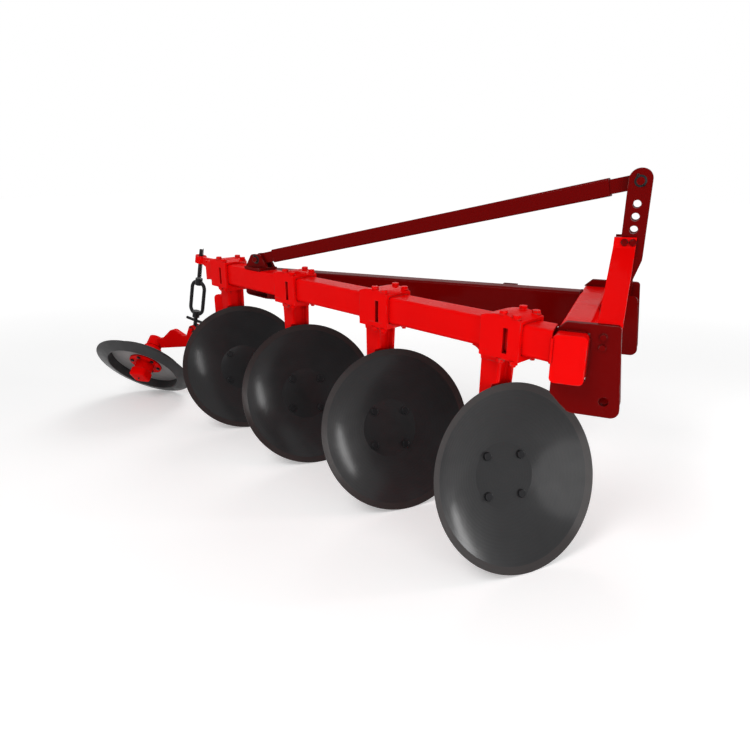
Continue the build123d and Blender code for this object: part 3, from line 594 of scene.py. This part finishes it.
def turned_blade(name, colour, worn, spot, axis):
    """Dark disc steel with fine turned rings and a ground bevel, centred on its own axis."""
    tree, shader, where = new_finish(name)
    turn = axis.to_track_quat("Z", "Y").to_matrix().transposed()
    own = vector_node(tree, "SUBTRACT", where, tuple(spot))["Vector"]
    across, along = [vector_node(tree, "DOT_PRODUCT", own, tuple(row))["Value"] for row in turn[:2]]
    flat = node(tree, "ShaderNodeCombineXYZ", X=across, Y=along).outputs["Vector"]
    radius = vector_node(tree, "LENGTH", flat)["Value"]
    rings = node(
        tree,
        "ShaderNodeTexWave",
        {"wave_type": "RINGS", "rings_direction": "SPHERICAL"},
        Vector=flat,
        Scale=26.0,
        Distortion=1.2,
        Detail=3.0,
    ).outputs["Fac"]

    mottle = ramp(tree, grain(tree, where, scale=5.0, detail=6.0), low=0.35, high=0.7, high_value=0.4)
    scale = blend_colour(tree, mottle, tuple(colour), shade(colour, share=1.5))
    ring_depth = 0.12
    ringed = blend_colour(tree, product(tree, rings, ring_depth), scale, shade(colour, share=0.6))
    ground = ramp(tree, radius, *BLADE_BEVEL, high_value=0.12)
    base = blend_colour(tree, ground, ringed, tuple(worn))
    rough = ramp(tree, grain(tree, where, scale=16.0), *NOISE_SPAN, low_value=0.34, high_value=0.48)
    surface(tree, shader, base, rough, rings, bump_depth=0.0003)
    shader.inputs["Specular IOR Level"].default_value = 0.10
    shader.inputs["Coat Weight"].default_value = 0.30
    shader.inputs["Coat Roughness"].default_value = 0.16


def hex_head(thread):
    """A hex bolt head on its washer, seated on Z = 0."""
    washer = 0.2 * thread
    height = 0.62 * thread
    near_top = 0.9 * (washer + height)
    bolt = start(
        bpy.ops.mesh.primitive_cylinder_add,
        vertices=24,
        radius=0.98 * thread,
        depth=washer,
        location=(0, 0, washer / 2),
    )
    pick(lambda middle, out: out.z > LEANS)
    chamfer(0.3 * washer)
    bpy.ops.mesh.primitive_cylinder_add(
        vertices=6,
        radius=0.86 * thread,
        depth=height,
        location=(0, 0, washer + height / 2),
    )
    pick(lambda middle, out: out.z > LEANS and middle.z > near_top)
    chamfer(0.09 * thread)
    pick(lambda middle, out: out.z > FACES and middle.z > near_top)
    bpy.ops.mesh.inset(thickness=0.1 * thread, depth=-0.02 * thread)
    close()
    return bolt


def hex_nut(thread):
    """A hex nut on its washer with the bolt's end standing out, seated on Z = 0."""
    foot = 0.7 * thread
    stud = 0.55 * thread
    near_top = foot + 0.9 * stud
    nut = hex_head(thread)
    bpy.ops.object.mode_set(mode="EDIT")
    bpy.ops.mesh.primitive_cylinder_add(
        vertices=16,
        radius=thread / 2,
        depth=stud,
        location=(0, 0, foot + stud / 2),
    )
    pick(lambda middle, out: out.z > LEANS and middle.z > near_top)
    chamfer(0.12 * thread, segments=1)
    close()
    return nut


def split_pin(reach, wire):
    """A washer and a split pin with its head loop and bent tail, seated on Z = 0."""
    washer = 0.003
    washer_edge = 0.0008
    height = washer + 1.2 * wire
    length = 2.7 * reach
    tail = (0.6 * reach, -0.3 * reach, 0)
    pin = start(
        bpy.ops.mesh.primitive_cylinder_add,
        vertices=24,
        radius=1.55 * reach,
        depth=washer,
        location=(0, 0, washer / 2),
    )
    pick(lambda middle, out: out.z > LEANS)
    chamfer(washer_edge)
    bpy.ops.mesh.primitive_cylinder_add(
        vertices=8,
        radius=wire,
        depth=length,
        location=(0, 0, height),
        rotation=(pi / 2, 0, 0),
    )
    pick(lambda middle, out: out.y < -FACES and middle.z > washer)
    bpy.ops.mesh.extrude_region_move(TRANSFORM_OT_translate={"value": tail})
    bpy.ops.mesh.primitive_torus_add(
        major_segments=16,
        minor_segments=8,
        major_radius=1.8 * wire,
        minor_radius=0.8 * wire,
        location=(0, length / 2 + 1.6 * wire, height),
    )
    close()
    return pin


def weld_bead(begin, end, radius):
    """A rippled weld bead between two points, with its place."""
    swell = 1.25
    ripple = 1.1 * radius
    fewest_ripples = 3
    run = end - begin
    count = max(fewest_ripples, round(run.length / ripple))
    step = run.length / count
    bead = start(bpy.ops.mesh.primitive_circle_add, vertices=8, radius=radius / swell)
    bpy.ops.mesh.select_mode(type="EDGE")
    bpy.ops.mesh.select_all(action="SELECT")
    for widen in (swell, 1 / swell):
        bpy.ops.mesh.extrude_region_move(TRANSFORM_OT_translate={"value": (0, 0, step / 2)})
        bpy.ops.transform.resize(value=(widen, widen, 1.0))
    bpy.ops.object.mode_set(mode="OBJECT")
    row = bead.modifiers.new("ripples", "ARRAY")
    row.count = count
    row.use_relative_offset = False
    row.use_constant_offset = True
    row.constant_offset_displace = (0, 0, step)
    row.use_merge_vertices = True
    row.merge_threshold = 0.05 * radius
    bpy.ops.object.modifier_apply(modifier=row.name)
    bpy.ops.object.mode_set(mode="EDIT")
    bpy.ops.mesh.select_all(action="SELECT")
    bpy.ops.mesh.fill_holes(sides=0)
    close()
    return bead, [seat(begin, run.normalized())]


def grease_nipple(size):
    """A grease nipple: hex foot, neck and ball, seated on Z = 0."""
    foot = 0.7 * size
    rises_and_widths = ((0.7, 0.8), (0.35, 1.35), (0.35, 0.6))
    nipple = start(
        bpy.ops.mesh.primitive_cylinder_add,
        vertices=6,
        radius=size,
        depth=foot,
        location=(0, 0, foot / 2),
    )
    pick(lambda middle, out: out.z > LEANS)
    bpy.ops.mesh.inset(thickness=0.4 * size)
    for rise, widen in rises_and_widths:
        bpy.ops.mesh.extrude_region_move(TRANSFORM_OT_translate={"value": (0, 0, rise * size)})
        bpy.ops.transform.resize(value=(widen, widen, 1.0))
    close()
    return nipple


def screw_core():
    """The depth screw's shank, at the root of its thread."""
    length = SCREW_TO - SCREW_FROM
    end_edge = 0.002
    core = start(
        bpy.ops.mesh.primitive_cylinder_add,
        vertices=SCREW_SIDES,
        radius=SCREW_ROOT,
        depth=length,
        location=(0, 0, SCREW_FROM + length / 2),
    )
    pick(lambda middle, out: out.z > FACES)
    chamfer(end_edge)
    close()
    return core


def screw_ridge(pitch):
    """The depth screw's thread, a triangle wound round its shank."""
    height = SCREW_CREST - SCREW_ROOT
    triangle_height = 0.75 * pitch
    width_share = 0.9
    middle = SCREW_ROOT + 0.3 * height
    unthreaded_turns = 2
    ridge = start(bpy.ops.mesh.primitive_circle_add, vertices=3, radius=pitch / 2, rotation=(pi / 2, 0, 0))
    bpy.ops.transform.rotate(value=pi / 2, orient_axis="Y", center_override=(0, 0, 0))
    bpy.ops.transform.resize(value=(height / triangle_height, 1.0, width_share))
    bpy.ops.transform.translate(value=(middle, 0, SCREW_FROM + pitch))
    bpy.ops.object.mode_set(mode="OBJECT")
    bpy.ops.object.transform_apply(location=True, rotation=True, scale=True)
    turns = ridge.modifiers.new("thread", "SCREW")
    turns.axis = "Z"
    turns.angle = 2 * pi
    turns.screw_offset = pitch
    turns.iterations = int((SCREW_TO - SCREW_FROM) / pitch) - unthreaded_turns
    turns.steps = SCREW_SIDES
    turns.render_steps = SCREW_SIDES
    bpy.ops.object.modifier_apply(modifier=turns.name)
    bpy.ops.object.mode_set(mode="EDIT")
    bpy.ops.mesh.select_all(action="SELECT")
    bpy.ops.mesh.fill_holes(sides=3)
    close()
    return ridge


def clamping_screw():
    """A screw with its boss and tommy bar, seated on Z = 0."""
    boss = 0.012
    boss_radius = 0.016
    stem = 0.034
    stem_inset = 0.007
    bar = 0.09
    bar_radius = 0.005
    bar_rise = 0.038
    edge = 0.002
    screw = start(
        bpy.ops.mesh.primitive_cylinder_add,
        vertices=24,
        radius=boss_radius,
        depth=boss,
        location=(0, 0, boss / 2),
    )
    pick(lambda middle, out: out.z > FACES)
    chamfer(edge)
    pick(lambda middle, out: out.z > FACES and middle.z > 0.9 * boss)
    bpy.ops.mesh.inset(thickness=stem_inset)
    bpy.ops.mesh.extrude_region_move(TRANSFORM_OT_translate={"value": (0, 0, stem)})
    chamfer(edge)
    bpy.ops.mesh.primitive_cylinder_add(
        vertices=16,
        radius=bar_radius,
        depth=bar,
        location=(0, 0, bar_rise),
        rotation=(pi / 2, 0, 0),
    )
    pick(lambda middle, out: abs(out.y) > FACES and abs(middle.y) > 0.4 * bar)
    chamfer(edge)
    close()
    return screw


def clamp_bolt_places(name):
    """Seats of one clamp's bolt heads, and of their nuts under the saddle."""
    low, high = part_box(name)
    heads = []
    nuts = []
    for side in (-CLAMP_BOLT_SIDE, CLAMP_BOLT_SIDE):
        for along in CLAMP_BOLT_ALONG:
            spot = (low + high) / 2 + BEAM_AHEAD * along + BEAM_LEFT * side
            crown = high.z - CLAMP_CROWN * (along / CLAMP_HALF) ** 2
            head = Vector((spot.x, spot.y, crown - CLAMP_HEAD_SINK))
            nut = Vector((spot.x, spot.y, low.z - SADDLE))
            heads.append(seat(head, UP, CLAMP_HEAD_TURN * along))
            nuts.append(seat(nut, -UP, CLAMP_NUT_TURN * along))
    return heads, nuts


def mast_bolt_places(side, out):
    """Seats of one mast brace's bolt heads, and of the nuts behind its foot."""
    low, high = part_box(f"mast_brace_{side}")
    plate_low, plate_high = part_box(f"hitch_plate_{side}_outer")
    inner = high.y if side == "right" else low.y
    outer = plate_low.y if side == "right" else plate_high.y
    behind = outer - out.y * (plate_high.y - plate_low.y + BRACE)
    foot_x = low.x + BRACE_FOOT_SETBACK
    heads = []
    nuts = []
    for rise in BRACE_FOOT_RISES:
        heads.append(seat(Vector((foot_x, outer, low.z + rise)), out))
        nuts.append(seat(Vector((foot_x, behind, low.z + rise)), -out))
    for share in BRACE_TOP_SHARES:
        top_x = low.x + share * (high.x - low.x)
        heads.append(seat(Vector((top_x, inner + out.y * BRACE, high.z - BRACE_TOP_DROP)), out))
    return heads, nuts


def stay_clip_places():
    """Seats of the clips on both ends of the stay's two pins."""
    right_low, right_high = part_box("mast_cheek_right")
    hitch_middle = (right_low.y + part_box("mast_cheek_left")[1].y) / 2
    cheek_outside = hitch_middle - right_low.y
    front = Vector((right_high.x - MAST_PIN_SETBACK, hitch_middle, right_high.z - MAST_PIN_DROP))
    rear = middle_of("stay_foot")
    rear.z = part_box("stay_foot")[0].z + STAY_PIN_RISE
    run = rear - front
    across = UP.cross(Vector((run.x, run.y, 0)).normalized())
    return [
        seat(front - LEFT * cheek_outside, -LEFT, MAST_CLIP_TURN),
        seat(front + LEFT * cheek_outside, LEFT, MAST_CLIP_TURN),
        seat(rear + across * STAY_EAR_OUTSIDE, across, FOOT_CLIP_TURN),
        seat(rear - across * STAY_EAR_OUTSIDE, -across, FOOT_CLIP_TURN),
    ]


def ear_clip_places(pin, ear):
    """Seats of the clips on both ends of a pin that lies across the plough."""
    return [seat(pin + LEFT * ear * side, LEFT * side, ARM_CLIP_TURN) for side in (-1, 1)]


def on_beam_side(side, axis, value):
    """Point on the line along the beam's left (1) or right (-1) side, where X or Y has a value."""
    face = middle_of("clamp_1") + BEAM_LEFT * side * BEAM_HALF
    return face + BEAM_AHEAD * (value - face[axis]) / BEAM_AHEAD[axis]


def upright(x, y, low, high):
    """A weld run straight up."""
    return Vector((x, y, low)), Vector((x, y, high))


def lengthways(y, z, rear, front):
    """A weld run along the direction of travel."""
    return Vector((rear, y, z)), Vector((front, y, z))


def beam_runs():
    """Up both sides of the beam, at the cross member's rear."""
    rear = CROSS_LOW.x
    spots = [on_beam_side(side, X_AXIS, rear) for side in (-1, 1)]
    return [upright(rear, spot.y, BEAM_LOW.z, CROSS_HIGH.z - TUBE_STOP) for spot in spots]


def side_member_runs():
    """Round the side member's front end, and over its mitre on the beam."""
    rear = CROSS_LOW.x
    low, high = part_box("side_member")
    sides = [upright(rear, edge, low.z + TUBE_STOP, high.z - TUBE_STOP) for edge in (low.y, high.y)]
    ends = (low.y + TUBE_STOP, high.y - TUBE_STOP)
    groove = Vector((rear, 0, high.z)) + CORNER_GROOVE
    mitre = []
    for end in ends:
        spot = on_beam_side(1, Y_AXIS, end)
        mitre.append(Vector((spot.x, spot.y, high.z)))
    return [*sides, [groove + LEFT * end for end in ends], mitre]


def hitch_runs(side):
    """Along one side's hitch plates and mast cheek, where they meet the cross member."""
    rear = CROSS_LOW.x
    front = CROSS_HIGH.x
    top = CROSS_HIGH.z - PLATE_STOP
    runs = []
    for kind in ("outer", "inner"):
        low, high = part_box(f"hitch_plate_{side}_{kind}")
        bottom = max(CROSS_LOW.z + PLATE_STOP, low.z)
        for edge in (low.y, high.y):
            runs.append(upright(front, edge, bottom, min(top, high.z - PLATE_TOP_STOP)))
            if kind == "outer":
                runs.append(lengthways(edge, CROSS_HIGH.z, rear + PLATE_REAR_STOP, front - PLATE_STOP))
                runs.append(lengthways(edge, CROSS_LOW.z, rear + PLATE_STOP, front - PLATE_STOP))
    low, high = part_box(f"mast_cheek_{side}")
    for edge in (low.y, high.y):
        runs.append(upright(front, edge, low.z + CHEEK_STOP, top))
    return runs


def stand_runs():
    """Up both edges of the stand's socket, on the side member."""
    side_low, side_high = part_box("side_member")
    low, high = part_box("stand_socket")
    edges = (low.x + SOCKET_STOP, high.x - SOCKET_STOP)
    return [upright(edge, low.y, side_low.z + TUBE_STOP, side_high.z - TUBE_STOP) for edge in edges]


def lay_floor():
    """A wide pale floor that shows white away from the plough and keeps its shadow."""
    floor = start(bpy.ops.mesh.primitive_plane_add, size=FLOOR_SIZE, location=(0, 0, -FLOOR_DROP))
    bpy.ops.mesh.subdivide(number_cuts=8)
    bpy.ops.object.mode_set(mode="OBJECT")
    bpy.ops.object.transform_apply(location=True, rotation=True, scale=True)
    floor.name = "floor"
    tree, shader, where = new_finish("pale_floor")
    tone = blend_colour(tree, grain(tree, where, scale=1.5), *FLOOR_TONES)
    tree.links.new(tone, shader.inputs["Base Color"])
    shader.inputs["Roughness"].default_value = 0.9
    shader.inputs["Specular IOR Level"].default_value = 0.0
    shader.inputs["Emission Color"].default_value = WHITE
    away = vector_node(tree, "LENGTH", where)["Value"]
    lift = ramp(tree, away, low=1.6, high=7.0, low_value=0.26, high_value=0.70)
    tree.links.new(product(tree, seen_ray(tree), lift), shader.inputs["Emission Strength"])
    coat_piece(floor, "pale_floor")


def light_surround(scene, sky):
    """A surround that is white where it is seen and lights the plough more softly."""
    world = bpy.data.worlds.new("studio_surround")
    world.use_nodes = True
    scene.world = world
    tree = world.node_tree
    backdrop = tree.nodes["Background"]
    backdrop.inputs["Color"].default_value = WHITE
    strength = ramp(tree, seen_ray(tree), low=0.0, high=1.0, low_value=sky, high_value=1.0)
    tree.links.new(strength, backdrop.inputs["Strength"])


def hang_lamps(studio):
    """Soft lamps, each with its place, width, height and power."""
    lamps = {
        "key": ((-0.4, -3.2, 4.0), 2.2, 2.2, studio.key),
        "fill": ((3.2, -2.6, 1.2), 2.4, 2.4, studio.fill),
        "back": ((-1.2, 3.4, 3.2), 2.6, 2.6, studio.fill),
        "strip": ((3.3, 1.0, 0.7), 0.3, 1.3, studio.strip),
    }
    for name, (place, width, height, power) in lamps.items():
        bpy.ops.object.light_add(type="AREA", location=place)
        lamp = bpy.context.object
        lamp.name = name
        lamp.data.shape = "ELLIPSE"
        lamp.data.size = width
        lamp.data.size_y = height
        lamp.data.energy = power
        lamp.rotation_euler = (LAMP_AIM - Vector(place)).to_track_quat("-Z", "Y").to_euler()


def set_camera(scene, studio):
    """The camera, placed from the ground under the front disc."""
    front = DISC_SPOTS[0]
    place = Vector(studio.spot) + Vector((front.x, front.y, 0))
    bpy.ops.object.camera_add(location=place, rotation=(pi / 2 - studio.drop, 0, studio.turn))
    camera = bpy.context.object
    camera.name = "camera"
    camera.data.sensor_width = SENSOR_MM
    camera.data.lens = SENSOR_MM / 2 / tan(studio.field / 2)
    scene.camera = camera


class PLOUGH_OT_finishes(bpy.types.Operator):
    """Make the paints and steels and put them on the plough's solid pieces"""

    bl_idname = "plough.finishes"
    bl_label = "Paint and steel"

    def execute(self, context):
        finish = context.scene.plough.finish
        for material in list(bpy.data.materials):
            bpy.data.materials.remove(material)
        worn = finish.primer
        gloss_paint("red_paint", finish.red, worn, finish.edge)
        # The darker red is painted shade: a shaded copy of the red paint
        gloss_paint("dark_red_paint", finish.shaded_red, worn, finish.edge)
        dark_steel("disc_steel", finish.rim, worn, sheen=(0.28, 0.44), speckle=140.0, depth=0.0008)
        dark_steel("wheel_grey", finish.wheel, worn, sheen=(0.34, 0.50), speckle=190.0, depth=0.0006)
        dark_steel("black_steel", finish.black, worn, sheen=(0.30, 0.46), speckle=210.0, depth=0.0006)
        for subpart in frame["record"]["subparts"]:
            coat_piece(frame["nodes"][subpart["node"]], subpart["material_slot"])
        for i, spot in enumerate(DISC_SPOTS):
            name = f"blade_{i + 1}"
            turned_blade(name, finish.disc, worn, spot, DISC_AXIS)
            coat_piece(frame["nodes"][name], name)
        return {"FINISHED"}


class PLOUGH_OT_clamp_bolts(bpy.types.Operator):
    """Bolt each standard's saddle to its clamp over the beam"""

    bl_idname = "plough.clamp_bolts"
    bl_label = "Clamp bolts"

    def execute(self, context):
        thread = context.scene.plough.fittings.clamp_bolt
        for i in range(DISC_COUNT):
            heads, nuts = clamp_bolt_places(f"clamp_{i + 1}")
            bolts = gather(f"clamp_bolts_{i + 1}", [(hex_head(thread), heads), (hex_nut(thread), nuts)])
            finish_piece(bolts, "frame", "red_paint")
        return {"FINISHED"}


class PLOUGH_OT_mast_fittings(bpy.types.Operator):
    """Bolt the mast's braces to cheeks and hitch plates and clip the stay's two pins"""

    bl_idname = "plough.mast_fittings"
    bl_label = "Mast fittings"

    def execute(self, context):
        thread = context.scene.plough.fittings.plate_bolt
        right_heads, right_nuts = mast_bolt_places("right", -LEFT)
        left_heads, left_nuts = mast_bolt_places("left", LEFT)
        heads = right_heads + left_heads
        nuts = right_nuts + left_nuts
        bolts = gather("mast_bolts", [(hex_head(thread), heads), (hex_nut(thread), nuts)])
        # The mast bolts take the red in painted shade, like the plates they sit on
        finish_piece(bolts, "frame", "dark_red_paint")
        pins = gather("stay_pin_clips", [(split_pin(*STAY_CLIP), stay_clip_places())])
        finish_piece(pins, "frame", "black_steel")
        return {"FINISHED"}


class PLOUGH_OT_wheel_fittings(bpy.types.Operator):
    """Bolt the furrow wheel's web to its hub and fit its grease nipple"""

    bl_idname = "plough.wheel_fittings"
    bl_label = "Wheel bolts"

    def execute(self, context):
        fittings = context.scene.plough.fittings
        reach = fittings.wheel_bolt_circle
        facing = seat(WHEEL_SPOT, WHEEL_AXIS)
        places = []
        for i in range(fittings.wheel_bolts):
            angle = 2 * pi * (i + 0.5) / fittings.wheel_bolts
            spot = Vector((reach * cos(angle), reach * sin(angle), WHEEL_FLANGE_SEAT))
            places.append(facing @ Matrix.Translation(spot))
        cap = [facing @ Matrix.Translation(Vector((0, 0, WHEEL_CAP_TOP)))]
        head = hex_head(fittings.plate_bolt)
        bolts = gather("wheel_bolts", [(head, places), (grease_nipple(fittings.nipple), cap)])
        finish_piece(bolts, "furrow_wheel", "black_steel")
        return {"FINISHED"}


class PLOUGH_OT_depth_screw(bpy.types.Operator):
    """Cut the depth screw's thread"""

    bl_idname = "plough.depth_screw"
    bl_label = "Depth screw"

    def execute(self, context):
        pitch = context.scene.plough.fittings.thread
        place = seat(fork_eye(), SCREW_AXIS)
        screw = gather("depth_screw", [(screw_core(), [place]), (screw_ridge(pitch), [place])])
        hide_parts("adjusting_screw")
        finish_piece(screw, "adjuster", "black_steel", smooth=40)
        return {"FINISHED"}


class PLOUGH_OT_arm_clips(bpy.types.Operator):
    """Clip the wheel arm's pivot pin and the adjuster's lower pin"""

    bl_idname = "plough.arm_clips"
    bl_label = "Wheel arm clips"

    def execute(self, context):
        pivot = ear_clip_places(ARM_PIVOT, BRACKET_EAR)
        clips = gather("bracket_pin_clips", [(split_pin(*PIVOT_CLIP), pivot)])
        finish_piece(clips, "frame", "black_steel")
        lower = ear_clip_places(fork_eye(), FORK_EAR)
        clips = gather("adjuster_pin_clips", [(split_pin(*EYE_CLIP), lower)])
        finish_piece(clips, "wheel_arm", "black_steel")
        return {"FINISHED"}


class PLOUGH_OT_stand_screw(bpy.types.Operator):
    """Fit the clamping screw that holds the parking stand in its socket"""

    bl_idname = "plough.stand_screw"
    bl_label = "Stand screw"

    def execute(self, context):
        face = middle_of("stand_socket")
        face.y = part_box("stand_socket")[1].y
        bar_turn = 0.35
        piece = gather("stand_screw", [(clamping_screw(), [seat(face, LEFT, bar_turn)])])
        finish_piece(piece, "frame", "black_steel")
        return {"FINISHED"}


class PLOUGH_OT_welds(bpy.types.Operator):
    """Run weld beads where the frame's tubes and plates meet"""

    bl_idname = "plough.welds"
    bl_label = "Welds"

    def execute(self, context):
        radius = context.scene.plough.fittings.weld
        dark_runs = [*side_member_runs(), *hitch_runs("right"), *hitch_runs("left"), *stand_runs()]
        # Welds on the darker pieces take the red in painted shade
        for slot, runs in (("red_paint", beam_runs()), ("dark_red_paint", dark_runs)):
            beads = [weld_bead(begin, end, radius) for begin, end in runs]
            welds = gather(f"welds_{slot}", beads)
            finish_piece(welds, "frame", slot, smooth=50)
        return {"FINISHED"}


class PLOUGH_OT_studio(bpy.types.Operator):
    """Lay the pale floor, hang the soft lights and set the camera"""

    bl_idname = "plough.studio"
    bl_label = "Studio"

    def execute(self, context):
        studio = context.scene.plough.studio
        context.scene.view_settings.view_transform = "Standard"
        lay_floor()
        light_surround(context.scene, studio.sky)
        hang_lamps(studio)
        set_camera(context.scene, studio)
        return {"FINISHED"}


class PLOUGH_PT_dresser(bpy.types.Panel):
    """The plough's settings and steps"""

    bl_label = "Disc plough"
    bl_idname = "PLOUGH_PT_dresser"
    bl_space_type = "VIEW_3D"
    bl_region_type = "UI"
    bl_category = "Plough"

    def draw(self, context):
        settings = context.scene.plough
        for group in (settings.finish, settings.fittings, settings.studio):
            box = self.layout.box()
            for name in group.bl_rna.properties.keys():
                if name not in ("rna_type", "name"):
                    box.prop(group, name)
        for step in STEPS:
            self.layout.operator(step.bl_idname)


STEPS = (
    PLOUGH_OT_finishes,
    PLOUGH_OT_clamp_bolts,
    PLOUGH_OT_mast_fittings,
    PLOUGH_OT_wheel_fittings,
    PLOUGH_OT_depth_screw,
    PLOUGH_OT_arm_clips,
    PLOUGH_OT_stand_screw,
    PLOUGH_OT_welds,
    PLOUGH_OT_studio,
)
CLASSES = (PloughFinish, PloughFittings, PloughStudio, PloughSettings, *STEPS, PLOUGH_PT_dresser)


def register():
    for kind in CLASSES:
        bpy.utils.register_class(kind)
    bpy.types.Scene.plough = PointerProperty(type=PloughSettings)


def unregister():
    del bpy.types.Scene.plough
    for kind in reversed(CLASSES):
        bpy.utils.unregister_class(kind)


def main():
    register()
    bpy.ops.plough.finishes()
    bpy.ops.plough.clamp_bolts()
    bpy.ops.plough.mast_fittings()
    bpy.ops.plough.wheel_fittings()
    bpy.ops.plough.depth_screw()
    bpy.ops.plough.arm_clips()
    bpy.ops.plough.stand_screw()
    bpy.ops.plough.welds()
    bpy.ops.plough.studio()


if __name__ == "__main__":
    main()
